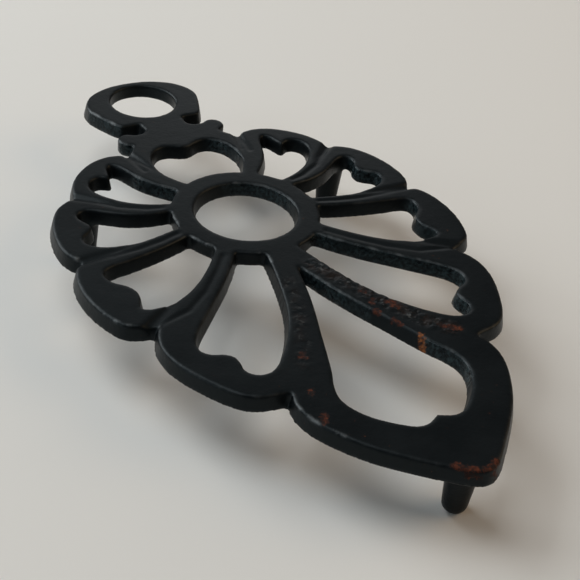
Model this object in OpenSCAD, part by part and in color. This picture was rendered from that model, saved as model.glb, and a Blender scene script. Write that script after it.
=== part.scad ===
// Cast-iron trivet with a hanging ring, drawn as the named sections of one casting.
// The hub axis is the centre of the plan. Outline shares are multiplied by plan_unit.

/* [Plan] */
// Width of the openwork plate's top face across its widest petals
plate_w = 128.32; // [112:0.01:144]
// Radius of the round hole through the hub
hub_hole_r = 16.8; // [10:0.1:20]
// Outside radius of the hub ring, where petals and collar begin
hub_ring_r = 24; // [21.5:0.1:26]

/* [Plate] */
// Thickness of the openwork plate
plate_t = 5.2; // [3:0.1:9]
// How much farther out a cast wall stands at the underside than at the top face
wall_draft = 1.1; // [0.2:0.1:1.2]

/* [Hanging ring] */
// Half of the ring's width across the trivet
ring_half_w = 21; // [17:0.1:26]
// Height of the ring above the centre of its hole
ring_rise = 15; // [13.5:0.1:22]
// Depth of the ring below the centre of its hole, down to its shoulders
ring_drop = 14.7; // [13:0.1:18]
// Gap between the end of the neck and the ring's shoulders
ring_gap = 1.4; // [1.2:0.1:6]
// Radius of the round hole that hangs on a hook
ring_hole_r = 11.7; // [6:0.1:12.5]

/* [Beads and slots] */
// Radius of the round bead on each side of the neck
bead_r = 3.8; // [2.5:0.1:6]
// Radius of the slot's round inner end, between bead and ring
slot_r = 3.3; // [2:0.1:4]

/* [Feet] */
// Height of the plate's underside above the table
foot_len = 17.2; // [8:0.1:25]
// Radius of a foot where it leaves the plate
foot_top_r = 4.8; // [3:0.1:5.5]
// Radius of a foot just above its rounded end
foot_end_r = 3.7; // [2:0.1:5]
// Radius of the worn flat that stands on the table
foot_pad_r = 1.7; // [0.5:0.1:2.5]

/* [Grooves between petals] */
// Radius of a groove's hollow at the outer notch
groove_r = 3.2; // [2:0.1:6]
// Radius of the same hollow near the hub, where it fades out
groove_start_r = 0.8; // [0.4:0.1:1.5]
// Depth of a groove at the outer notch
groove_depth = 1; // [0.3:0.1:2]

/* [Hidden] */
// Straight pieces between two outline points
curve_steps = 4;
// How far a cutter runs past the face that it cuts
cut_over = 0.4;
// How far a cutter for an outer edge runs past the notches at its ends
notch_room = 5;
$fn = 96;

// Outline points, right half, as shares of plan_unit from the hub axis.
// Each line between two petals runs from inside the hub to the outer notch.
line_collar_shares = [[0.64, 1.02], [0.8, 1.27], [1.14, 1.8], [1.28, 2.3], [1.33, 2.76]];
line_one_shares = [[1.07, 0.54], [1.34, 0.68], [1.8, 0.78], [2.3, 1.05], [2.72, 1.44], [2.97, 1.66]];
line_two_shares = [[1.19, -0.14], [1.49, -0.18], [2, -0.34], [2.5, -0.43], [3.05, -0.46], [3.61, -0.44]];
line_three_shares = [[0.83, -0.86], [1.04, -1.08], [1.47, -1.6], [1.98, -2.12], [2.5, -2.5], [3.15, -2.66]];
line_four_shares = [[0.14, -1.19], [0.17, -1.49], [0.27, -2.05], [0.54, -3], [1, -4], [1.4, -4.55], [1.9, -5.1]];

// Outer edge of each petal, from notch to notch, clockwise.
edge_collar_shares = [[1.02, 3.14], [1.13, 2.96], [1.33, 2.76]];
edge_one_shares = [[1.33, 2.76], [1.49, 2.87], [1.78, 2.9], [2.13, 2.8], [2.46, 2.57],
    [2.74, 2.26], [2.9, 1.93], [2.97, 1.66]];
edge_two_shares = [[2.97, 1.66], [3.2, 1.57], [3.43, 1.4], [3.62, 1.12], [3.76, 0.78],
    [3.84, 0.4], [3.85, 0.02], [3.77, -0.25], [3.61, -0.44]];
edge_three_shares = [[3.61, -0.44], [3.82, -0.57], [3.95, -0.85], [4.01, -1.25], [3.99, -1.65],
    [3.9, -2.05], [3.74, -2.42], [3.5, -2.58], [3.15, -2.66]];
edge_four_shares = [[3.15, -2.66], [3.3, -2.9], [3.39, -3.2], [3.38, -3.55], [3.28, -3.9],
    [3.1, -4.28], [2.87, -4.67], [2.63, -4.93], [2.35, -5.05], [1.9, -5.1]];
edge_tip_shares = [[1.9, -5.1], [2, -5.3], [2.02, -5.6], [1.93, -5.95], [1.72, -6.35],
    [1.41, -6.79], [1.02, -7.2], [0.64, -7.55], [0.33, -7.82], [0.13, -7.94], [0, -7.97]];

// Each opening starts and ends inside the hub ring, whose outside closes it.
// Collar opening, right half, from the hub to the dip between its two lobes.
window_collar_shares = [[0.66, 1.36], [0.8, 1.58], [0.92, 1.82], [0.97, 2.1], [0.94, 2.4],
    [0.84, 2.63], [0.68, 2.8], [0.48, 2.87], [0.28, 2.83], [0.12, 2.75], [0, 2.72]];
window_one_shares = [[0.93, 1.2], [1.12, 1.4], [1.3, 1.62], [1.46, 1.88], [1.57, 2.15],
    [1.66, 2.4], [1.8, 2.57], [1.93, 2.47], [1.99, 2.25], [2.05, 2.12], [2.2, 2.2],
    [2.38, 2.17], [2.52, 2], [2.52, 1.75], [2.36, 1.46], [2.1, 1.18], [1.8, 0.98],
    [1.5, 0.85], [1.27, 0.79]];
window_two_shares = [[1.4, 0.56], [1.7, 0.57], [2, 0.63], [2.3, 0.75], [2.6, 0.95],
    [2.85, 1.12], [3.03, 1.16], [3.16, 1.05], [3.15, 0.88], [3.07, 0.7], [3.07, 0.56],
    [3.2, 0.42], [3.34, 0.32], [3.37, 0.15], [3.25, -0.03], [3.02, -0.15], [2.7, -0.21],
    [2.35, -0.22], [2, -0.16], [1.7, -0.09], [1.45, -0.04]];
window_three_shares = [[1.44, -0.34], [1.75, -0.45], [2.1, -0.55], [2.5, -0.64], [2.9, -0.71],
    [3.2, -0.75], [3.4, -0.84], [3.45, -1.02], [3.38, -1.22], [3.22, -1.38], [3.12, -1.56],
    [3.12, -1.78], [3.2, -1.96], [3.24, -2.1], [3.1, -2.19], [2.85, -2.2], [2.55, -2.14],
    [2.25, -2], [1.95, -1.78], [1.65, -1.5], [1.38, -1.2], [1.18, -0.95]];
window_four_shares = [[0.9, -1.2], [1.12, -1.5], [1.4, -1.83], [1.7, -2.15], [2, -2.45],
    [2.3, -2.75], [2.58, -3.03], [2.78, -3.3], [2.82, -3.55], [2.7, -3.72], [2.5, -3.8],
    [2.36, -3.93], [2.34, -4.12], [2.37, -4.3], [2.25, -4.48], [2.03, -4.53], [1.8, -4.42],
    [1.55, -4.18], [1.3, -3.88], [1.05, -3.5], [0.85, -3.1], [0.7, -2.7], [0.56, -2.25],
    [0.44, -1.83], [0.35, -1.46]];
// Tip opening, right half, from its point to the small bump at its wide end.
window_tip_shares = [[0, -2], [0.1, -2.35], [0.21, -2.75], [0.34, -3.15], [0.5, -3.58],
    [0.67, -4], [0.84, -4.45], [1.02, -4.9], [1.19, -5.25], [1.27, -5.58], [1.18, -5.92],
    [0.98, -6.22], [0.72, -6.47], [0.48, -6.64], [0.28, -6.67], [0.12, -6.61], [0, -6.55]];

// Where an opening's two sides would cross into the hub ring.
mouth_collar_shares = [[0.56, 1.16]];
mouth_one_shares = [[1.1, 0.72], [0.79, 1.04]];
mouth_two_shares = [[1.22, -0.02], [1.18, 0.54]];
mouth_three_shares = [[1.02, -0.76], [1.24, -0.27]];
mouth_four_shares = [[0.3, -1.24], [0.76, -1.02]];

// Centres of the small features, as shares of plan_unit.
ring_root_share = [0.5, 3.88];
bead_share = [1.02, 3.4];
slot_share = [0.69, 3.75];
foot_tip_share = [0, -7.4];
foot_side_share = [2.88, 1.36];

// The ring's outer edge, right half, from its top round to its shoulder beside the neck:
// across as shares of its half width, along as shares of its rise or its drop.
ring_edge_shares = [[0, 1], [0.27, 0.97], [0.53, 0.86], [0.78, 0.65], [0.95, 0.33], [1, 0],
    [0.94, -0.34], [0.85, -0.65], [0.78, -0.86], [0.71, -1]];
foot_steps = 5;

// A corner moves this much farther than the straight walls beside it.
corner_share = 1.4;
// Metal is cut to its leaning edge from a slab that stands out this many drafts,
// by a cutter that reaches this share of the edge's own distance from the hub axis.
room_share = 1.3;
outside_share = 1.3;

// The widest petal reaches half of the plate's width, which fixes the plan unit.
plan_unit = plate_w / (2 * edge_three_shares[3][0]);

function sized(shares) = [for (s = shares) s * plan_unit];
function last_of(points) = len(points) - 1;
function reversed(points) = [for (i = [0 : last_of(points)]) points[last_of(points) - i]];
function across(points) = [for (p = points) [-p[0], p[1]]];
function mirrored(points) = across(reversed(points));
function but_last(points) = [for (i = [0 : last_of(points)]) if (i < last_of(points)) points[i]];
function but_ends(points) = [for (i = [0 : last_of(points)]) if (i > 0 && i < last_of(points)) points[i]];
function but_first(points) = [for (i = [0 : last_of(points)]) if (i > 0) points[i]];
function both_sides(half) = concat(half, mirrored(but_ends(half)));
function first_of(points, count) = [for (i = [0 : count - 1]) points[i]];

// A smooth curve that passes through b and c, with a and d as its neighbours.
function between(a, b, c, d, t) =
    b + ((c - a) * t + (2 * a - 5 * b + 4 * c - d) * t * t + (3 * b - a - 3 * c + d) * t * t * t) / 2;
function smooth(p) = concat(
    [for (i = [0 : len(p) - 2], k = [0 : curve_steps - 1])
        between(p[max(i - 1, 0)], p[i], p[i + 1], p[min(i + 2, len(p) - 1)], k / curve_steps)],
    [p[len(p) - 1]]);

// The pattern has to leave the sand, so every cast wall leans and the metal is widest at
// the underside. An outline is moved to the right of its own way round, which is clockwise
// seen from above: a positive move narrows an opening and a negative one widens metal.
function right_of(a, b) = [b[1] - a[1], a[0] - b[0]] / norm(b - a);
function moved(points, by) = [for (i = [0 : last_of(points)])
    let (p = points[i],
        before = right_of(points[(i + last_of(points)) % len(points)], p),
        after = right_of(p, points[(i + 1) % len(points)]))
        p + (before + after) * by / (1 + before * after)];

// The notch at the end of a line between petals, carried on along the line.
function notch_at(line, by) =
    let (run = line[last_of(line)] - line[last_of(line) - 1])
        line[last_of(line)] + run * by * corner_share / norm(run);

// A petal's outer edge between two notches, farther out by so much.
function edge_at(line_in, edge, line_out, by) =
    smooth(concat([notch_at(line_in, by)], but_ends(moved(edge, -by)), [notch_at(line_out, by)]));

// A point outside a notch and past the line, on the neighbour's side of it.
function beyond(line, side) =
    let (last = last_of(line), away = right_of(line[last - 1], line[last]))
        notch_at(line, notch_room) + away * side * notch_room / 2;

// The plan of what lies outside an outer edge, from notch to notch and round behind it.
function outside_at(line_in, edge, line_out, by) =
    concat([beyond(line_in, -1)], but_ends(but_ends(edge)) * outside_share, [beyond(line_out, 1)],
        reversed(edge_at(line_in, edge, line_out, by)));

// An opening with its mouth towards the hub, and the right half of one across the middle.
function opening_at(window, mouth, by) =
    let (ring = moved(concat(window, mouth), by))
        concat(smooth(first_of(ring, len(window))), [for (i = [len(window) : last_of(ring)]) ring[i]]);
function tip_opening_at(by) =
    let (half = sized(window_tip_shares))
        both_sides(smooth(first_of(moved(both_sides(half), by), len(half))));

// The pointed end's outer edge, down the right side and up the left.
tip_edge = concat(sized(edge_tip_shares), mirrored(but_last(sized(edge_tip_shares))));

// The hub axis stands clear of the origin so that the casting is centred on it.
tip_y = moved(tip_edge, -wall_draft)[last_of(edge_tip_shares)][1];
ring_centre_y = ring_root_share[1] * plan_unit + ring_gap + ring_drop;
top_y = ring_centre_y + ring_rise + wall_draft;
hub_y = -(tip_y + top_y) / 2;

// Carries a plan drawn round the hub axis to its height above the table.
module placed() {
    translate([0, hub_y, foot_len])
        children();
}

module flipped() {
    mirror([1, 0, 0])
        children();
}

// The plate with upright walls.
module slab(points) {
    linear_extrude(height = plate_t)
        polygon(points);
}

// A solid between two clockwise outlines of as many points, one low and one high.
module loft(low, low_z, high, high_z) {
    n = len(low);
    polyhedron(
        points = concat([for (p = low) [p[0], p[1], low_z]], [for (p = high) [p[0], p[1], high_z]]),
        faces = concat(
            [[for (i = [0 : n - 1]) n - 1 - i]],
            [[for (i = [0 : n - 1]) n + i]],
            [for (i = [0 : n - 1]) [(i + 1) % n, n + (i + 1) % n, n + i]],
            [for (i = [0 : n - 1]) [(i + 1) % n, n + i, i]]));
}

// How far a wall that leans by so much over the plate has moved where a cutter ends.
function past(lean) = lean * cut_over / plate_t;

// A leaning block that runs past both faces, given its outlines where it starts and ends.
module through(low, high) {
    loft(low, -cut_over, high, plate_t + cut_over);
}

// A round opening of radius r at the top face, wider at the underside by its lean.
module round_through(r, lean) {
    translate([0, 0, -cut_over])
        cylinder(r1 = r + lean + past(lean), r2 = r - past(lean), h = plate_t + 2 * cut_over);
}

// A shallow hollow along a line between petals: a lying cone that starts above the
// face at the line's point number start and is deepest just outside the notch.
module groove(shares, start) {
    line = sized(shares);
    last = last_of(line);
    notch = line[last] + (line[last] - line[last - 1]) / 2;
    low = [line[start][0], line[start][1], plate_t + groove_start_r];
    high = [notch[0], notch[1], plate_t + groove_r - groove_depth];
    run = high - low;
    translate(low)
        rotate([0, acos(run[2] / norm(run)), atan2(run[1], run[0])])
            cylinder(r1 = groove_start_r / 2, r2 = groove_r, h = norm(run));
}

// Cuts away what lies outside an outer edge, and leaves the wall leaning.
module cut_outside(line_in, edge, line_out) {
    through(outside_at(line_in, edge, line_out, wall_draft + past(wall_draft)),
        outside_at(line_in, edge, line_out, -past(wall_draft)));
}

// A petal between two lines, still closed; its opening and grooves are cut by the children.
module petal_body(line_in, edge, line_out) {
    difference() {
        slab(concat(but_last(line_in), edge_at(line_in, edge, line_out, room_share * wall_draft),
            reversed(but_last(line_out))));
        cut_outside(line_in, edge, line_out);
        round_through(hub_ring_r, 0);
        children();
    }
}

module petal(line_in, edge, line_out, window, mouth) {
    petal_body(line_in, edge, line_out) {
        through(opening_at(window, mouth, wall_draft + past(wall_draft)),
            opening_at(window, mouth, -past(wall_draft)));
        children();
    }
}

module petal_one() {
    petal(sized(line_collar_shares), sized(edge_one_shares), sized(line_one_shares),
        sized(window_one_shares), sized(mouth_one_shares)) {
        groove(line_collar_shares, 1);
        groove(line_one_shares, 2);
    }
}

module petal_two() {
    petal(sized(line_one_shares), sized(edge_two_shares), sized(line_two_shares),
        sized(window_two_shares), sized(mouth_two_shares)) {
        groove(line_one_shares, 2);
        groove(line_two_shares, 1);
    }
}

module petal_three() {
    petal(sized(line_two_shares), sized(edge_three_shares), sized(line_three_shares),
        sized(window_three_shares), sized(mouth_three_shares)) {
        groove(line_two_shares, 1);
        groove(line_three_shares, 1);
    }
}

module petal_four() {
    petal(sized(line_three_shares), sized(edge_four_shares), sized(line_four_shares),
        sized(window_four_shares), sized(mouth_four_shares))
        groove(line_three_shares, 1);
}

// A foot hangs from the plate's underside: a taper with a rounded, slightly worn end.
module foot(share) {
    round_h = foot_end_r - foot_pad_r / 2;
    end = [for (i = [0 : foot_steps])
        let (a = 90 * i / foot_steps)
            [foot_pad_r + (foot_end_r - foot_pad_r) * sin(a), round_h * (1 - cos(a))]];
    translate([share[0] * plan_unit, share[1] * plan_unit, -foot_len])
        rotate_extrude()
            polygon(concat([[0, 0]], end, [[foot_top_r, foot_len], [0, foot_len]]));
}

module hub_ring() {
    color("#3b3f40")
        placed()
            difference() {
                cylinder(r = hub_ring_r, h = plate_t);
                round_through(hub_hole_r, -wall_draft);
            }
}

function collar_opening_at(by) =
    let (half = reversed(concat(sized(mouth_collar_shares), sized(window_collar_shares))),
        ring = moved(concat(mirrored(half), but_first(half)), by),
        side = [for (i = [len(half) - 1 : last_of(ring)]) ring[i]],
        right = concat(smooth(but_last(side)), [side[last_of(side)]]))
        concat(mirrored(right), but_first(right));

module collar() {
    edge = sized(edge_collar_shares);
    line = sized(line_collar_shares);
    under_neck = [[0, edge[0][1]], edge[0]];
    side = concat(edge_at(under_neck, edge, line, room_share * wall_draft), reversed(but_last(line)));
    color("#414546")
        placed()
            difference() {
                slab(concat(mirrored(side), side));
                cut_outside(under_neck, edge, line);
                flipped()
                    cut_outside(under_neck, edge, line);
                through(collar_opening_at(wall_draft + past(wall_draft)),
                    collar_opening_at(-past(wall_draft)));
                round_through(hub_ring_r, 0);
                groove(line_collar_shares, 1);
                flipped()
                    groove(line_collar_shares, 1);
            }
}

// The neck carries a bead on each side, and a round-ended slot parts bead from ring.
module neck() {
    foot_y = edge_collar_shares[0][1] * plan_unit;
    foot_x = edge_collar_shares[0][0] * plan_unit;
    root = sized([ring_root_share])[0];
    bead = sized([bead_share])[0];
    slot = sized([slot_share])[0];
    shelf_y = slot[1] - slot_r;
    side = [root, slot, [slot[0], shelf_y], [bead[0] - bead_r / 2, shelf_y], bead, [foot_x, foot_y]];
    color("#464a4b")
        placed()
            difference() {
                union() {
                    slab(concat(side, mirrored(side)));
                    for (turn = [0, 1])
                        mirror([turn, 0, 0])
                            translate([bead[0], bead[1], 0])
                                cylinder(r = bead_r, h = plate_t);
                }
                for (turn = [0, 1])
                    mirror([turn, 0, 0])
                        translate([slot[0], slot[1], 0])
                            round_through(slot_r, -wall_draft);
            }
}

// The ring's outer edge, farther out by so much.
function ring_at(by) =
    let (half = [for (s = ring_edge_shares)
            [s[0] * ring_half_w, ring_centre_y + s[1] * (s[1] > 0 ? ring_rise : ring_drop)]],
        right = smooth(first_of(moved(concat(half, mirrored(but_first(half))), -by), len(half))))
        concat(right, mirrored(but_first(right)));

// An upright slab is trimmed to the leaning wall, and the root joins it to the neck.
module hanging_ring() {
    root = sized([ring_root_share])[0];
    color("#3f4344")
        placed()
            difference() {
                union() {
                    intersection() {
                        slab(ring_at(room_share * wall_draft));
                        through(ring_at(wall_draft + past(wall_draft)), ring_at(-past(wall_draft)));
                    }
                    translate([-root[0], root[1], 0])
                        cube([2 * root[0], ring_centre_y - root[1], plate_t]);
                }
                translate([0, ring_centre_y, 0])
                    round_through(ring_hole_r, 0);
            }
}

module petal_right_1() {
    color("#4a4e4f")
        placed()
            petal_one();
}

module petal_right_2() {
    color("#434748")
        placed()
            petal_two();
}

module petal_right_3() {
    color("#4a4e4f")
        placed()
            petal_three();
}

module petal_right_4() {
    color("#434748")
        placed()
            petal_four();
}

module petal_left_1() {
    color("#4a4e4f")
        placed()
            flipped()
                petal_one();
}

module petal_left_2() {
    color("#434748")
        placed()
            flipped()
                petal_two();
}

module petal_left_3() {
    color("#4a4e4f")
        placed()
            flipped()
                petal_three();
}

module petal_left_4() {
    color("#434748")
        placed()
            flipped()
                petal_four();
}

module petal_tip() {
    line = sized(line_four_shares);
    color("#4a4e4f")
        placed()
            difference() {
                petal_body(line, tip_edge, across(line));
                through(tip_opening_at(wall_draft + past(wall_draft)), tip_opening_at(-past(wall_draft)));
            }
}

module foot_left() {
    color("#35393a")
        placed()
            flipped()
                foot(foot_side_share);
}

module foot_right() {
    color("#35393a")
        placed()
            foot(foot_side_share);
}

module foot_tip() {
    color("#35393a")
        placed()
            foot(foot_tip_share);
}

hub_ring();
collar();
neck();
hanging_ring();
petal_left_1();
petal_left_2();
petal_left_3();
petal_left_4();
petal_right_1();
petal_right_2();
petal_right_3();
petal_right_4();
petal_tip();
foot_left();
foot_right();
foot_tip();
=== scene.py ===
# %% [markdown]
# # A cast-iron trivet, dressed from its CAD frame
# The real trivet is one iron casting: molten iron filled a sand mould, and the whole leaf,
# ring and feet came out in one piece. The CAD frame already holds its exact outline as 16
# named sections. This lesson keeps that outline and gives it what only a casting has: soft
# edges, a sandy skin, black lacquer that is rubbed thin at the rim, pits where the sand
# crumbled, and a few freckles of rust.

# %% Load the frame
import math
import bpy
import bmesh
from mathutils import Matrix, Vector


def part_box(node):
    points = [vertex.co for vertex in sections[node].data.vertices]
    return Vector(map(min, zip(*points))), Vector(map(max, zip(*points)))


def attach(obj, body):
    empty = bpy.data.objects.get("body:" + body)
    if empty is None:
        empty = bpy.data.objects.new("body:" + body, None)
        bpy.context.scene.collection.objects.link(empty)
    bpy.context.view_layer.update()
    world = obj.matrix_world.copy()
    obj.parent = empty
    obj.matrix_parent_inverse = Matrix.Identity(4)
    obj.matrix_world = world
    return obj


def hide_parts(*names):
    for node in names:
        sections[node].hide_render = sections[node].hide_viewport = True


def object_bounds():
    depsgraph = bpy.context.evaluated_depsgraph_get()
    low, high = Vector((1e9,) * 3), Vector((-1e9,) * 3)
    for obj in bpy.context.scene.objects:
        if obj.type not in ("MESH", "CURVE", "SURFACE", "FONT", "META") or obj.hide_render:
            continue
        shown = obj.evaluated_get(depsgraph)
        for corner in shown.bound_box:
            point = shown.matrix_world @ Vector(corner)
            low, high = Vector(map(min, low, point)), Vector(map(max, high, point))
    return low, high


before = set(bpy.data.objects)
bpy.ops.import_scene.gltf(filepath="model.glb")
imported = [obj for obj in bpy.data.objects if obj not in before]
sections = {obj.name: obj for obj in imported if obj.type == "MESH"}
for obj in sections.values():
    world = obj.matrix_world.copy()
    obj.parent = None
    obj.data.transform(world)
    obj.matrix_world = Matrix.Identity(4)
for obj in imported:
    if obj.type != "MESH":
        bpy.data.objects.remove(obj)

MM = 0.001
cad_low, cad_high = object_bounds()
cad_size = [round((b - a) / MM, 1) for a, b in zip(cad_low, cad_high)]
print("sections:", len(sections), "box in mm:", cad_size)

# %% [markdown]
# ## Where things are
# The frame is in metres. Its origin lies under the middle of the outline, at table height,
# with +Y towards the hanging ring. The pattern is easier to read from the hub's axis, so a
# helper turns a place counted in plan units from the hub into a place in the frame. One
# plan unit is 16 mm, the same unit that the CAD uses for its outline shares.

# %% Plan helper
PLAN_UNIT = 16 * MM
hub_low, hub_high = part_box("hub_ring")
HUB_Y = (hub_low.y + hub_high.y) / 2
PLATE_TOP = hub_high.z
PLATE_UNDER = hub_low.z


def on_plan(across, along, depth=0.0):
    """A place: across and along in plan units from the hub, depth below the top face."""
    return Vector((across * PLAN_UNIT, HUB_Y + along * PLAN_UNIT, PLATE_TOP - depth))


print("hub axis at y =", round(HUB_Y / MM, 2), "mm")
print("plate from", round(PLATE_UNDER / MM, 2), "to", round(PLATE_TOP / MM, 2), "mm")

# %% [markdown]
# ## One skin over sixteen sections
# The sections touch face to face, so joined together they still have inner walls where
# they meet. Cutting those out by hand or with booleans is slow and can fail on faces that
# lie on each other. A voxel remesh wraps one even skin round everything instead, which is
# also close to how sand holds iron: no edge of a sand mould is perfectly sharp.

# %% Join the sections
SAME_POINT = 0.001 * MM
SKIN_CELL = 0.63 * MM
raw_mesh = bpy.data.meshes.new("raw_casting")
gather = bmesh.new()
for section in sections.values():
    gather.from_mesh(section.data)
bmesh.ops.remove_doubles(gather, verts=gather.verts, dist=SAME_POINT)
gather.to_mesh(raw_mesh)
gather.free()
casting = bpy.data.objects.new("iron_casting", raw_mesh)
bpy.context.scene.collection.objects.link(casting)
wrap = casting.modifiers.new("Sand mould skin", "REMESH")
wrap.mode = "VOXEL"
wrap.voxel_size = SKIN_CELL
wrap.use_smooth_shade = True
print("joined", len(sections), "sections,", len(raw_mesh.vertices), "points")

# %% [markdown]
# ## Small helpers for node trees
# Both the casting's skin and its finish are node trees written in Python. Three helpers
# keep them readable: one finds the socket that is switched on, since many nodes hide
# several sockets of the same name, one adds a node with its settings and inputs, and one
# wires an output to an input.

# %% Node helpers
def live(sockets, name):
    """The socket of that name that the node's settings have switched on."""
    if isinstance(name, int):
        return sockets[name]
    return next(s for s in sockets if s.name == name and s.enabled)


def add(tree, kind, settings=None, **values):
    """Adds a node; settings are its own properties, values its inputs, which may be wires.

    An input is named with _ for each space, or by its place in the node, as _0 or _1."""
    node = tree.nodes.new(kind)
    for key, value in (settings or {}).items():
        setattr(node, key, value)
    for key, value in values.items():
        name = int(key[1:]) if key[0] == "_" else key.replace("_", " ")
        put(tree, value, live(node.inputs, name))
    return node


def put(tree, value, socket):
    """Wires an output into a socket, or writes a plain value into it."""
    if isinstance(value, bpy.types.NodeSocket):
        tree.links.new(value, socket)
    elif isinstance(value, bpy.types.Node):
        tree.links.new(next(s for s in value.outputs if s.enabled), socket)
    else:
        socket.default_value = value


print("node helpers ready")

# %% [markdown]
# Two more helpers do the arithmetic that both trees share. `reach` turns a distance or a
# noise into a soft mask.

# %% Arithmetic helpers
def reckon(tree, how, a, b=0.0):
    """One step of arithmetic on two numbers."""
    return add(tree, "ShaderNodeMath", {"operation": how}, _0=a, _1=b).outputs[0]


def reach(tree, value, low, high):
    """0 below low, 1 above high, smooth between."""
    soft_step = {"interpolation_type": "SMOOTHSTEP"}
    ramp = add(tree, "ShaderNodeMapRange", soft_step, Value=value, From_Min=low, From_Max=high)
    return ramp.outputs[0]


print("arithmetic helpers ready")

# %% [markdown]
# ## Marks that belong to places
# Rust and pits aren't spread evenly: on the real trivet they sit on the two bars beside
# the tip opening and at the very tip. Short lines laid over those places act as guides:
# the skin measures its distance from them, and stores it as an attribute that the finish
# reads later. Guides are easy to move, and they are deleted once they are used.

# %% Guide maker
def guide(name, lines):
    """A mesh of loose lines; each line is a list of places."""
    points, edges = [], []
    for line in lines:
        for i, point in enumerate(line):
            if i:
                edges.append((len(points) - 1, len(points)))
            points.append(point)
    mesh = bpy.data.meshes.new(name)
    mesh.from_pydata(points, edges, [])
    thing = bpy.data.objects.new(name, mesh)
    bpy.context.scene.collection.objects.link(thing)
    return thing


print("guide maker ready")

# %% [markdown]
# Each freckle of rust is one short line. The drip is the one place where rust ran down a
# wall and stayed bright, so it has a guide of its own. The pits follow both bars, weaker on
# the left one, whose line lies deeper, and the worn places are rims that hands have rubbed;
# their grey is wear and also a painted highlight.

# %% Guide lines: rust, pits, and worn rims with painted highlight
LEFT_BAR_DEPTH = 3 * MM
guides = {}
guides["Rust Places"] = guide("rust_places", [
    # the right bar, from the hub outwards
    [on_plan(0.69, -3.22), on_plan(0.72, -3.28)],
    [on_plan(0.71, -3.5), on_plan(0.66, -3.58)],
    [on_plan(0.94, -3.66), on_plan(1.06, -3.86)],
    [on_plan(1.06, -3.68), on_plan(0.98, -3.82)],
    [on_plan(0.58, -3.8), on_plan(0.64, -3.9, 0.5 * MM)],
    [on_plan(0.74, -4.18), on_plan(0.8, -4.34)],
    [on_plan(1.47, -4.65), on_plan(1.62, -4.76), on_plan(1.74, -4.84)],
    # the left bar and the rim beyond it
    [on_plan(-1.62, -5.24), on_plan(-1.66, -5.3)],
    [on_plan(-1.74, -5.86), on_plan(-1.84, -5.95)],
    [on_plan(-1.28, -4.36), on_plan(-1.32, -4.42)],
    # the tip: along its rim, then down its end wall
    [on_plan(-0.48, -7.66), on_plan(-0.23, -7.86), on_plan(0, -7.95), on_plan(0.24, -7.84)],
    [on_plan(-0.3, -7.85, 1.6 * MM), on_plan(0.1, -7.98, 2.2 * MM), on_plan(0.15, -8, 4.2 * MM)],
])
guides["Rust Drip"] = guide("rust_drip", [
    [on_plan(0.98, -4.76, 0.2 * MM), on_plan(0.95, -4.8, 2 * MM), on_plan(0.93, -4.86, 4.4 * MM)],
])
guides["Rough Places"] = guide("rough_places", [
    [on_plan(0.3, -2.1), on_plan(0.75, -3.3), on_plan(1.25, -4.3), on_plan(1.6, -4.8)],
    [on_plan(x, y, LEFT_BAR_DEPTH) for x, y in [(-0.4, -2.4), (-0.85, -3.6), (-1.4, -4.6)]],
])
# worn rims that also carry a painted highlight; the scuff on the tip petal is wear only
guides["Worn Places"] = guide("worn_places", [
    # the third left petal's rim
    [on_plan(-4.02, -1.8), on_plan(-3.9, -2.2), on_plan(-3.6, -2.6), on_plan(-3.4, -2.8)],
    # the hub's left edge, then the root of the fourth left opening
    [on_plan(-1.45, -0.44), on_plan(-1.34, -0.68), on_plan(-1.22, -0.9)],
    [on_plan(-1.42, 0.45), on_plan(-1.46, 0)],
    [on_plan(-0.37, -1.45), on_plan(-0.48, -1.74)],
    # a notch in the left rim, the tip petal's left rim, the ring's left side
    [on_plan(-3.72, -0.34), on_plan(-3.8, -0.45)],
    [on_plan(-1.95, -5.4), on_plan(-1.92, -5.9), on_plan(-1.75, -6.3)],
    [on_plan(-1.31, 4.9), on_plan(-1.22, 4.5), on_plan(-1.1, 4.2)],
    # a scuff on the tip petal's face
    [on_plan(0.76, -6.93), on_plan(0.8, -6.98)],
])
print("guides so far:", ", ".join(guides))

# %% [markdown]
# The petals look as if they overlapped: a sharp valley runs down the middle of the CAD's
# soft hollow between each two petals. The valleys are written for one side and mirrored.

# %% Guide lines: valleys
valleys = [
    [(1.24, 2.1), (1.28, 2.3), (1.33, 2.76)],
    [(1.5, 0.71), (1.8, 0.78), (2.3, 1.05), (2.72, 1.44), (2.97, 1.66)],
    [(1.6, -0.22), (2, -0.34), (2.5, -0.43), (3.05, -0.46), (3.61, -0.44)],
    [(1.15, -1.22), (1.47, -1.6), (1.98, -2.12), (2.5, -2.5), (3.15, -2.66)],
]
guides["Valley Places"] = guide("valley_places", [
    [on_plan(side * x, y) for x, y in line] for line in valleys for side in (1, -1)
])
print("valleys:", 2 * len(valleys))
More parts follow.
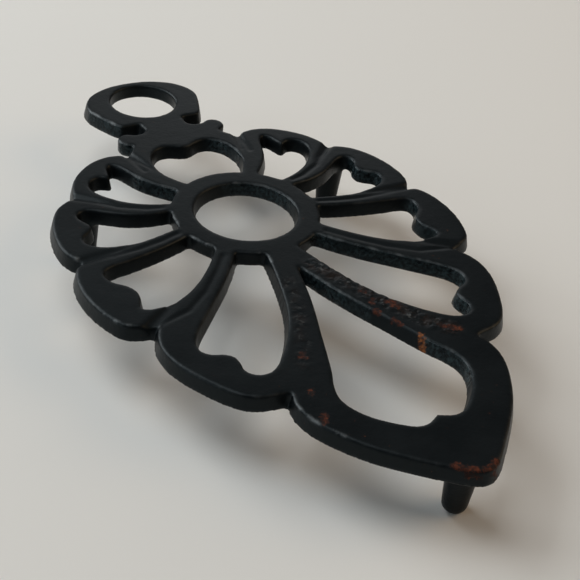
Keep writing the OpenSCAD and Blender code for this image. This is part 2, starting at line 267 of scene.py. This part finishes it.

# %% [markdown]
# The glints are walls that face the window. They get less roughness and a coarser bump,
# and their glint is also painted into the colour as a lighter teal over the sand grain.
# They are marked one by one, because they are what the eye finds first on the dark iron.
# Their lines run below the top face, so that the flat faces beside them stay satin.

# %% Guide lines: glints
GLINT_DEPTH = 2 * MM
glints = [
    # the fourth right opening: its long wall, then its lobe
    [(0.9, -1.2), (1.4, -1.83), (2, -2.45), (2.58, -3.03), (2.82, -3.55)],
    [(2.36, -3.93), (2.34, -4.12), (2.37, -4.3)],
    # the lobes of the third and the second right opening
    [(3.45, -1.02), (3.22, -1.38), (3.12, -1.56), (3.12, -1.78), (3.24, -2.1)],
    [(3.15, 0.88), (3.07, 0.7), (3.07, 0.56), (3.2, 0.42), (3.37, 0.15)],
    # the far side of the hub's hole, then the inner side of the first left petal
    [(0.2, 1.03), (0.6, 0.86), (0.9, 0.54), (1.05, 0)],
    [(-0.93, 1.2), (-1.12, 1.4), (-1.3, 1.62), (-1.46, 1.88)],
    # both ends of the tip opening's long wall
    [(0.1, -2.35), (0.34, -3.15), (0.52, -3.6)],
    [(1.04, -4.95), (1.27, -5.58), (1.18, -5.92)],
    # a bead, the ring's left side and the collar's right lobe
    [(-1.1, 3.2), (-1.2, 3.3)],
    [(-1.3, 4.75), (-1.2, 4.3), (-1.08, 4.08)],
    [(0.74, 2.72), (0.92, 2.48), (0.96, 2.2)],
]
guides["Glint Places"] = guide("glint_places", [
    [on_plan(x, y, GLINT_DEPTH) for x, y in line] for line in glints
])
print("glinting walls:", len(glints))

# %% [markdown]
# ## The casting's skin, in Geometry Nodes
# The rule for the skin is the same everywhere, so it is a node tree: average each point
# with its neighbours, which rounds every edge; push it in along its normal by a broad
# noise and a fine one, more so near the rough guide and in the valleys; fit the result
# back to the CAD box; then store how far each point stands out of its neighbours. That
# last number is high on edges, where hands and pots rub the lacquer off.

# %% Skin tree: inputs
skin = bpy.data.node_groups.new("Casting skin", "GeometryNodeTree")
skin.interface.new_socket("Geometry", in_out="INPUT", socket_type="NodeSocketGeometry")
skin.interface.new_socket("Geometry", in_out="OUTPUT", socket_type="NodeSocketGeometry")
dials = {}
for label, kind, start in [
    ("Edge Softening", "Int", 1),
    ("Swell Height", "Float", 0.10 * MM), ("Swells Per Metre", "Float", 75.0),
    ("Grain Height", "Float", 0.07 * MM), ("Grains Per Metre", "Float", 520.0),
    ("Rough Height", "Float", 0.36 * MM), ("Rough Reach", "Float", 4.5 * MM),
    ("Valley Depth", "Float", 0.36 * MM), ("Valley Reach", "Float", 1.5 * MM),
    ("Seed", "Float", 4.0),
    ("Low Corner", "Vector", tuple(cad_low)), ("High Corner", "Vector", tuple(cad_high)),
    ("Iron", "Material", None),
] + [(label, "Object", thing) for label, thing in guides.items()]:
    dial = skin.interface.new_socket(label, in_out="INPUT", socket_type="NodeSocket" + kind)
    dials[label] = (dial.identifier, start)
print("skin inputs:", ", ".join(dials))

# %% [markdown]
# The skin tree needs a few words of its own: products and sums of numbers, noise at the
# point's place, the point's place averaged with its neighbours', and nearness to a guide.

# %% Skin tree: helpers
given = skin.nodes.new("NodeGroupInput").outputs
place = add(skin, "GeometryNodeInputPosition").outputs[0]
facing = add(skin, "GeometryNodeInputNormal").outputs[0]


def product(a, b):
    return reckon(skin, "MULTIPLY", a, b)


def total(a, b):
    return reckon(skin, "ADD", a, b)


def skin_noise(per_metre, seed, detail=2.0):
    """Noise from 0 to 1 at the point's place."""
    in_4d = {"noise_dimensions": "4D"}
    return add(skin, "ShaderNodeTexNoise", in_4d, W=seed, Scale=per_metre, Detail=detail).outputs[0]


def averaged_place(rounds):
    """The point's place averaged with its neighbours', so many rounds over."""
    vectors = {"data_type": "FLOAT_VECTOR"}
    return add(skin, "GeometryNodeBlurAttribute", vectors, Value=place, Iterations=rounds)


def near(label, close, far):
    """1 within close of a guide's lines, 0 beyond far, smooth between."""
    lines = add(skin, "GeometryNodeObjectInfo", Object=given[label]).outputs["Geometry"]
    to_edges = {"target_element": "EDGES"}
    away = add(skin, "GeometryNodeProximity", to_edges, _0=lines).outputs["Distance"]
    return reckon(skin, "SUBTRACT", 1.0, reach(skin, away, close, far))


print("skin helpers ready")

# %% [markdown]
# The first part of the tree moves points. Blur Attribute averages positions along the
# mesh's own edges, so flat faces stay flat and only edges give way. The noises push
# inwards only, so the part never grows past its CAD size.

# %% Skin tree: shape
ROUGH_CORE = 0.25  # the share of the rough guide's reach where the pits are deepest
PIT_SEED = 9.0
PIT_RIM, PIT_FLOOR = 0.45, 0.75  # noise levels at which a pit begins and is at its deepest

softened = add(
    skin, "GeometryNodeSetPosition",
    Geometry=given["Geometry"], Position=averaged_place(given["Edge Softening"]),
)
rough = near("Rough Places", product(given["Rough Reach"], ROUGH_CORE), given["Rough Reach"])
swell = product(skin_noise(given["Swells Per Metre"], given["Seed"]), given["Swell Height"])
grain = product(skin_noise(given["Grains Per Metre"], given["Seed"]), given["Grain Height"])
pit_noise = skin_noise(given["Grains Per Metre"], PIT_SEED, detail=0.0)
pitted = product(reach(skin, pit_noise, PIT_RIM, PIT_FLOOR), given["Rough Height"])
valley = product(near("Valley Places", 0.0, given["Valley Reach"]), given["Valley Depth"])
sunk = total(total(swell, grain), total(valley, product(pitted, rough)))
inward = add(
    skin, "ShaderNodeVectorMath", {"operation": "SCALE"}, _0=facing, Scale=product(sunk, -1.0),
)
skinned = add(
    skin, "GeometryNodeSetPosition", Geometry=softened, Offset=inward.outputs[0],
)
print("shape part:", len(skin.nodes), "nodes")

# %% [markdown]
# The second part fits the skin back to the CAD box, corner to corner, because the soft
# edges and the grain have drawn it in by a hair.

# %% Skin tree: fit
def vector_step(how, a, b):
    """One step of arithmetic on two vectors."""
    return add(skin, "ShaderNodeVectorMath", {"operation": how}, _0=a, _1=b).outputs[0]


box = add(skin, "GeometryNodeBoundBox", Geometry=skinned)
cad_span = vector_step("SUBTRACT", given["High Corner"], given["Low Corner"])
skin_span = vector_step("SUBTRACT", box.outputs["Max"], box.outputs["Min"])
grown = vector_step("DIVIDE", cad_span, skin_span)
from_corner = vector_step("SUBTRACT", place, box.outputs["Min"])
fitted = vector_step("ADD", given["Low Corner"], vector_step("MULTIPLY", from_corner, grown))
seated = add(skin, "GeometryNodeSetPosition", Geometry=skinned, Position=fitted)
print("with the fit:", len(skin.nodes), "nodes")

# %% [markdown]
# The last part stores what the finish needs: edge_wear, wall (1 on upright faces)
# and one nearness for each guide that carries a mark. Realize Instances and Set Material
# close the tree.

# %% Skin tree: attributes and output
WEAR_ROUNDS = 6
neighbours = averaged_place(WEAR_ROUNDS)
stands = add(
    skin, "ShaderNodeVectorMath", {"operation": "DOT_PRODUCT"},
    _0=vector_step("SUBTRACT", place, neighbours), _1=facing,
).outputs["Value"]
upward = reckon(skin, "ABSOLUTE", add(skin, "ShaderNodeSeparateXYZ", _0=facing).outputs["Z"])
stored = seated
for label, value in [
    ("edge_wear", reach(skin, stands, 0.08 * MM, 0.34 * MM)),
    ("wall", reckon(skin, "SUBTRACT", 1.0, reach(skin, upward, 0.45, 0.8))),
    ("rust_near", near("Rust Places", 0.1 * MM, 2.6 * MM)),
    ("drip_near", near("Rust Drip", 0.3 * MM, 2.4 * MM)),
    ("worn_near", near("Worn Places", 0.4 * MM, 3.0 * MM)),
    ("glint_near", near("Glint Places", 1.5 * MM, 4.5 * MM)),
    ("rough_near", rough),
]:
    stored = add(
        skin, "GeometryNodeStoreNamedAttribute", {"data_type": "FLOAT", "domain": "POINT"},
        Geometry=stored, Name=label, Value=value,
    )
smooth = add(skin, "GeometryNodeSetShadeSmooth", Geometry=stored)
real = add(skin, "GeometryNodeRealizeInstances", Geometry=smooth)
coated = add(skin, "GeometryNodeSetMaterial", Geometry=real, Material=given["Iron"])
add(skin, "NodeGroupOutput", Geometry=coated)
print("skin tree:", len(skin.nodes), "nodes")

# %% [markdown]
# ## The finish: black lacquer on iron
# The iron was coated black and then used for years. Seen close, it is nearly black with a
# cool blue-green cast. It is satin, and glossier on the walls that face the window, whose
# glint over the sandy grain is also painted into the colour as a lighter teal. It is written
# as one material. Its masks come from the stored attributes and from noise on Object
# coordinates, so the pattern is fixed to the iron.

# %% Finish: helpers
RUST_FRAY, RUST_BEGINS, RUST_FULL = 3.0, 2.0, 2.5

iron = bpy.data.materials.new("black_iron")
iron.use_nodes = True
coat = iron.node_tree
coat.nodes.clear()
spot = add(coat, "ShaderNodeTexCoord").outputs["Object"]


def coat_noise(per_metre, detail=4.0, rough=0.6):
    """Noise from 0 to 1 on the iron, with so many bumps per metre."""
    return add(
        coat, "ShaderNodeTexNoise",
        Vector=spot, Scale=per_metre, Detail=detail, Roughness=rough,
    ).outputs[0]


def stored_mask(label):
    """A number from 0 to 1 that the skin tree stored on each point."""
    return add(coat, "ShaderNodeAttribute", {"attribute_name": label}).outputs["Fac"]


def times(a, b):
    return reckon(coat, "MULTIPLY", a, b)


def plus(a, b):
    return reckon(coat, "ADD", a, b)


def rusted(label, per_metre, detail, rough):
    """Rust round a guide, with a border that the noise frays."""
    frayed = times(coat_noise(per_metre, detail, rough), RUST_FRAY)
    return reach(coat, plus(stored_mask(label), frayed), RUST_BEGINS, RUST_FULL)


print("finish helpers ready")

# %% [markdown]
# Each mask says where one thing happens: clouds in the coat, grey rims, rust, the drip,
# the painted glint on the window walls, and painted glints on the rims of the pits. Rims
# are grey a little everywhere from wear. They are greyer on the window walls, where the grey is
# painted highlight, and greyest at the worn guide, where it is both wear and painted highlight.

# %% Finish: masks
CLOUDS_PER_M, PATCHES_PER_M, RIM_PATCHES_PER_M = 45.0, 110.0, 230.0
RUST_PER_M, DRIP_PER_M, PIT_GLINTS_PER_M, SAND_PER_M = 380.0, 500.0, 560.0, 900.0
# grey on rims: wear everywhere, wear and painted highlight at the worn guide, painted highlight
# along the glinting walls
RUBBED_EVERYWHERE, WORN_AND_HIGHLIT_SHARE, PAINTED_RIM_GLINT_SHARE = 0.14, 1.2, 0.45
GLITTER_LEAST = 0.4  # the share of glitter between its patches

wall = stored_mask("wall")
rough_patch = stored_mask("rough_near")
glint_near = stored_mask("glint_near")
cloudy = reach(coat, coat_noise(CLOUDS_PER_M), 0.35, 0.7)
sandy = coat_noise(SAND_PER_M, 3.0)
rim_patches = reach(coat, coat_noise(RIM_PATCHES_PER_M, 3.0), 0.42, 0.68)
rim = times(stored_mask("edge_wear"), rim_patches)
# worn places: rubbed grey, which on these rims is also painted highlight
worn_highlit_rims = times(stored_mask("worn_near"), WORN_AND_HIGHLIT_SHARE)
# painted highlight: lighter rims along the glinting walls
painted_rim_glints = times(glint_near, PAINTED_RIM_GLINT_SHARE)
edge = times(rim, plus(RUBBED_EVERYWHERE, plus(worn_highlit_rims, painted_rim_glints)))
rust = rusted("rust_near", RUST_PER_M, 5.0, 0.75)
drip = rusted("drip_near", DRIP_PER_M, 4.0, 0.8)
patches = reach(coat, coat_noise(PATCHES_PER_M, 2.0), 0.36, 0.58)
patchy = plus(GLITTER_LEAST, times(patches, 1.0 - GLITTER_LEAST))
glitter = times(times(wall, glint_near), patchy)
# painted glints: light dots on the rims of the pits
pit_glint_mask = times(rough_patch, reach(coat, coat_noise(PIT_GLINTS_PER_M, 2.0), 0.6, 0.68))
print("finish masks:", len(coat.nodes), "nodes")

# %% [markdown]
# The colours are few and very dark, and are written once by name. The two rusts have a
# darker and a brighter shade each, since real rust is never one colour.

# %% Finish: colours by name
COAT_THIN, COAT_FULL = (0.0018, 0.003, 0.0038, 1), (0.0036, 0.0052, 0.0062, 1)
# painted glint: a lighter teal for the walls that face the window
PAINTED_GLINT_TEAL = (0.023, 0.036, 0.04, 1)
BARE_PIT = (0.012, 0.0075, 0.006, 1)
# painted glint on the rims of the pits
PAINTED_PIT_GLINT = (0.11, 0.115, 0.115, 1)
# grey of rubbed iron, also used as painted highlight on rims
RUBBED_IRON_AND_RIM_HIGHLIGHT = (0.13, 0.142, 0.148, 1)
RUST_DARK, RUST_RED = (0.02, 0.006, 0.0035, 1), (0.13, 0.03, 0.01, 1)
DRIP_DARK, DRIP_BRIGHT = (0.1, 0.028, 0.01, 1), (0.32, 0.11, 0.03, 1)
print("coat:", COAT_FULL[:3], "rust:", RUST_RED[:3])

# %% [markdown]
# Colour is laid in layers. The coat comes first, cool, and painted a lighter teal over the
# sand on the window walls as their glint. Then come bare pits with painted glints on their
# rims, and then grey rims: rubbed wear everywhere, and painted highlight along the window
# walls and at the worn places. Dark red-brown rust goes over all of it, with the one brighter drip.

# %% Finish: colour
BARE_PER_M, RUST_SHADES_PER_M, DRIP_SHADES_PER_M = 300.0, 700.0, 900.0
PIT_GLINT_COVER, GREY_RIM_MOST, RUST_COVER = 0.5, 0.8, 0.9


def blend_colour(fac, under, over):
    """The under colour where fac is 0 and the over colour where it is 1."""
    node = add(coat, "ShaderNodeMix", {"data_type": "RGBA"})
    put(coat, fac, live(node.inputs, "Factor"))
    put(coat, under, live(node.inputs, "A"))
    put(coat, over, live(node.inputs, "B"))
    return next(s for s in node.outputs if s.enabled)


black = blend_colour(cloudy, COAT_THIN, COAT_FULL)
# painted glint: the window walls turn lighter teal over the sand grain
painted_glint_mask = times(glitter, reach(coat, sandy, 0.34, 0.7))
with_painted_glint = blend_colour(painted_glint_mask, black, PAINTED_GLINT_TEAL)
in_pits = times(rough_patch, reach(coat, coat_noise(BARE_PER_M), 0.45, 0.65))
bare = blend_colour(in_pits, with_painted_glint, BARE_PIT)
# painted glints laid over the pit rims
with_pit_glints = blend_colour(times(pit_glint_mask, PIT_GLINT_COVER), bare, PAINTED_PIT_GLINT)
# grey rims: rubbed wear, plus painted highlight along the window walls and at the worn guide
with_grey_rims = blend_colour(reckon(coat, "MINIMUM", edge, GREY_RIM_MOST), with_pit_glints, RUBBED_IRON_AND_RIM_HIGHLIGHT)
rust_shades = reach(coat, coat_noise(RUST_SHADES_PER_M), 0.42, 0.72)
rust_colour = blend_colour(rust_shades, RUST_DARK, RUST_RED)
freckled = blend_colour(times(rust, RUST_COVER), with_grey_rims, rust_colour)
drip_shades = reach(coat, coat_noise(DRIP_SHADES_PER_M), 0.35, 0.65)
drip_colour = blend_colour(drip_shades, DRIP_DARK, DRIP_BRIGHT)
colour = blend_colour(times(drip, RUST_COVER), freckled, drip_colour)
print("colour steps:", len(coat.nodes), "nodes")

# %% [markdown]
# Gloss follows the same masks: the coat shines most on the window walls, less on the flat
# faces, and rust is matt. The relief has sand grain everywhere, coarser on the walls,
# strongest on the window walls, and deep pits near the rough guide.

# %% Finish: gloss and relief
SATIN, CLOUD_DULLS, GLITTER_SHINES, RUST_DULLS = 0.36, 0.06, 0.2, 0.35
COARSE_PER_M, PITS_PER_M = 430.0, 330.0
FINE_SHARE, COARSE_SHARE, PIT_SHARE = 0.35, 0.3, 1.1
MORE_ON_WALLS, MORE_AT_GLINTS, MORE_IN_PITS = 0.3, 3.4, 0.5
RELIEF_HEIGHT = 0.22 * MM

gloss = plus(SATIN, times(cloudy, CLOUD_DULLS))
gloss = reckon(coat, "SUBTRACT", gloss, times(glitter, GLITTER_SHINES))
gloss = plus(gloss, times(reckon(coat, "MAXIMUM", rust, drip), RUST_DULLS))
coarse = coat_noise(COARSE_PER_M, 3.0, 0.65)
pits = reach(coat, coat_noise(PITS_PER_M, 2.0), 0.36, 0.6)
on_walls = plus(times(wall, MORE_ON_WALLS), times(glitter, MORE_AT_GLINTS))
coarse_here = plus(COARSE_SHARE, plus(on_walls, times(rough_patch, MORE_IN_PITS)))
height = plus(times(sandy, FINE_SHARE), times(coarse, coarse_here))
height = plus(height, times(pits, times(rough_patch, PIT_SHARE)))
relief = add(coat, "ShaderNodeBump", Strength=0.6, Distance=RELIEF_HEIGHT, Height=height)
body = add(
    coat, "ShaderNodeBsdfPrincipled",
    Base_Color=colour, Roughness=gloss, Metallic=0.0, IOR=1.5,
    Specular_IOR_Level=0.2, Specular_Tint=(0.8, 0.94, 1.0, 1), Normal=relief,
)
add(coat, "ShaderNodeOutputMaterial", Surface=body)
print("finish:", len(coat.nodes), "nodes")

# %% [markdown]
# ## Run the skin
# The modifier's inputs are set by identifier before anything is evaluated. Then the whole
# stack is turned into a plain mesh, so that nothing is left to compute later, and the
# guides go. The sections that it replaces are given the same finish.

# %% Make the casting plain
press = casting.modifiers.new("Casting skin", "NODES")
press.node_group = skin
for identifier, start in dials.values():
    press[identifier] = start
press[dials["Iron"][0]] = iron
graph = bpy.context.evaluated_depsgraph_get()
plain = bpy.data.meshes.new_from_object(
    casting.evaluated_get(graph), preserve_all_data_layers=True, depsgraph=graph,
)
casting.modifiers.clear()
casting.data = plain
plain.name = "iron_casting"
bpy.data.meshes.remove(raw_mesh)
for marker in guides.values():
    bpy.data.objects.remove(marker)
for section in sections.values():
    section.data.materials.clear()
    section.data.materials.append(iron)
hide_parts(*sorted(sections))
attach(casting, "root")
triangles = sum(len(face.vertices) - 2 for face in plain.polygons)
print("casting:", triangles, "triangles")
print("attributes:", [a.name for a in plain.attributes if a.data_type == "FLOAT"])

# %% [markdown]
# ## Table
# The trivet stands on a plain pale table, in the middle tone of the photograph's cloth.

# %% Floor
TABLE_WIDTH = 8
CLOTH_TONE = (0.78, 0.785, 0.765, 1)
bpy.ops.mesh.primitive_plane_add(size=TABLE_WIDTH)
table = bpy.context.object
table.name = "pale_table"
cloth = bpy.data.materials.new("pale_cloth")
cloth.use_nodes = True
cloth_body = cloth.node_tree.nodes["Principled BSDF"].inputs
cloth_body["Base Color"].default_value = CLOTH_TONE
cloth_body["Roughness"].default_value = 0.85
cloth_body["Specular IOR Level"].default_value = 0.2
table.data.materials.append(cloth)
print("table laid, metres wide:", TABLE_WIDTH)

# %% [markdown]
# ## The camera
# The photograph was taken by hand from the left of the tip, fairly close, looking down at
# 36 degrees and tilted by 7. The place was found by fitting the hub's circle, the ring
# and pairs of petals. It is written as a point, a target on the plate and a roll. The
# focal length was fitted in pixels of the photograph, so it is turned into millimetres.

# %% Camera
CAMERA_PLACE = (-0.17043, -0.26003, 0.22973)
CAMERA_TARGET = Vector((-0.00868, -0.02556, PLATE_TOP))
CAMERA_ROLL = math.radians(7.23)
SENSOR_WIDTH = 36
FOCAL_PIXELS, PHOTO_PIXELS = 1200, 580
NEAREST_SEEN = 10 * MM

lens_data = bpy.data.cameras.new("photo_camera")
camera = bpy.data.objects.new("photo_camera", lens_data)
bpy.context.scene.collection.objects.link(camera)
camera.location = CAMERA_PLACE
turn = (CAMERA_TARGET - camera.location).to_track_quat("-Z", "Y").to_matrix()
camera.rotation_euler = (turn @ Matrix.Rotation(CAMERA_ROLL, 3, "Z")).to_euler()
lens_data.sensor_width = SENSOR_WIDTH
lens_data.lens = SENSOR_WIDTH * FOCAL_PIXELS / PHOTO_PIXELS
lens_data.clip_start = NEAREST_SEEN
bpy.context.scene.camera = camera
print("camera", [round(c, 3) for c in camera.location], "lens", round(lens_data.lens, 1), "mm")

# %% [markdown]
# ## Light
# The photograph's light comes from behind, as from a window. A weak low lamp there is what
# the far faces mirror; the near ones mirror a dark room and stay black. Two wide lamps
# light the table, a small cool one at the left picks out the walls that face it, and a
# warm one at the right tints the table there.

# %% Lamps
WINDOW_WHITE, COOL, WARM = (0.98, 1.0, 1.0), (0.9, 0.97, 1.0), (1.0, 0.68, 0.4)
LAMPS = {  # name: place and width in metres, power in watts, tint
    "window_lamp": ((0.65, 1.15, 0.44), 0.6, 0.7, WINDOW_WHITE),
    "back_lamp": ((-0.8, 1.35, 1.0), 1.4, 23.0, WINDOW_WHITE),
    "top_lamp": ((-0.35, 0.4, 1.3), 1.0, 5.0, WINDOW_WHITE),
    "left_lamp": ((-1.25, 0.05, 0.5), 0.5, 1.8, COOL),
    "warm_lamp": ((1.1, -0.45, 0.75), 1.0, 5.5, WARM),
}


def lamp(name, spot_above, width, power, tint):
    """A square lamp that shines at the middle of the table."""
    data = bpy.data.lights.new(name, "AREA")
    data.size = width
    data.energy = power
    data.color = tint
    thing = bpy.data.objects.new(name, data)
    bpy.context.scene.collection.objects.link(thing)
    thing.location = spot_above
    thing.rotation_euler = (-thing.location).to_track_quat("-Z", "Y").to_euler()


for name, settings in LAMPS.items():
    lamp(name, *settings)
print("lamps:", len(LAMPS))

# %% [markdown]
# The world is a faint even room, which keeps the shadows from going quite black. The view
# transform is Standard, so a colour is shown as it is written.

# %% Room and view
ROOM_TINT, ROOM_STRENGTH = (0.97, 0.98, 1.0, 1), 0.1
room = bpy.data.worlds.new("soft_room")
room.use_nodes = True
room_light = room.node_tree.nodes["Background"].inputs
room_light["Color"].default_value = ROOM_TINT
room_light["Strength"].default_value = ROOM_STRENGTH
bpy.context.scene.world = room
bpy.context.scene.view_settings.view_transform = "Standard"
print("room strength:", ROOM_STRENGTH)
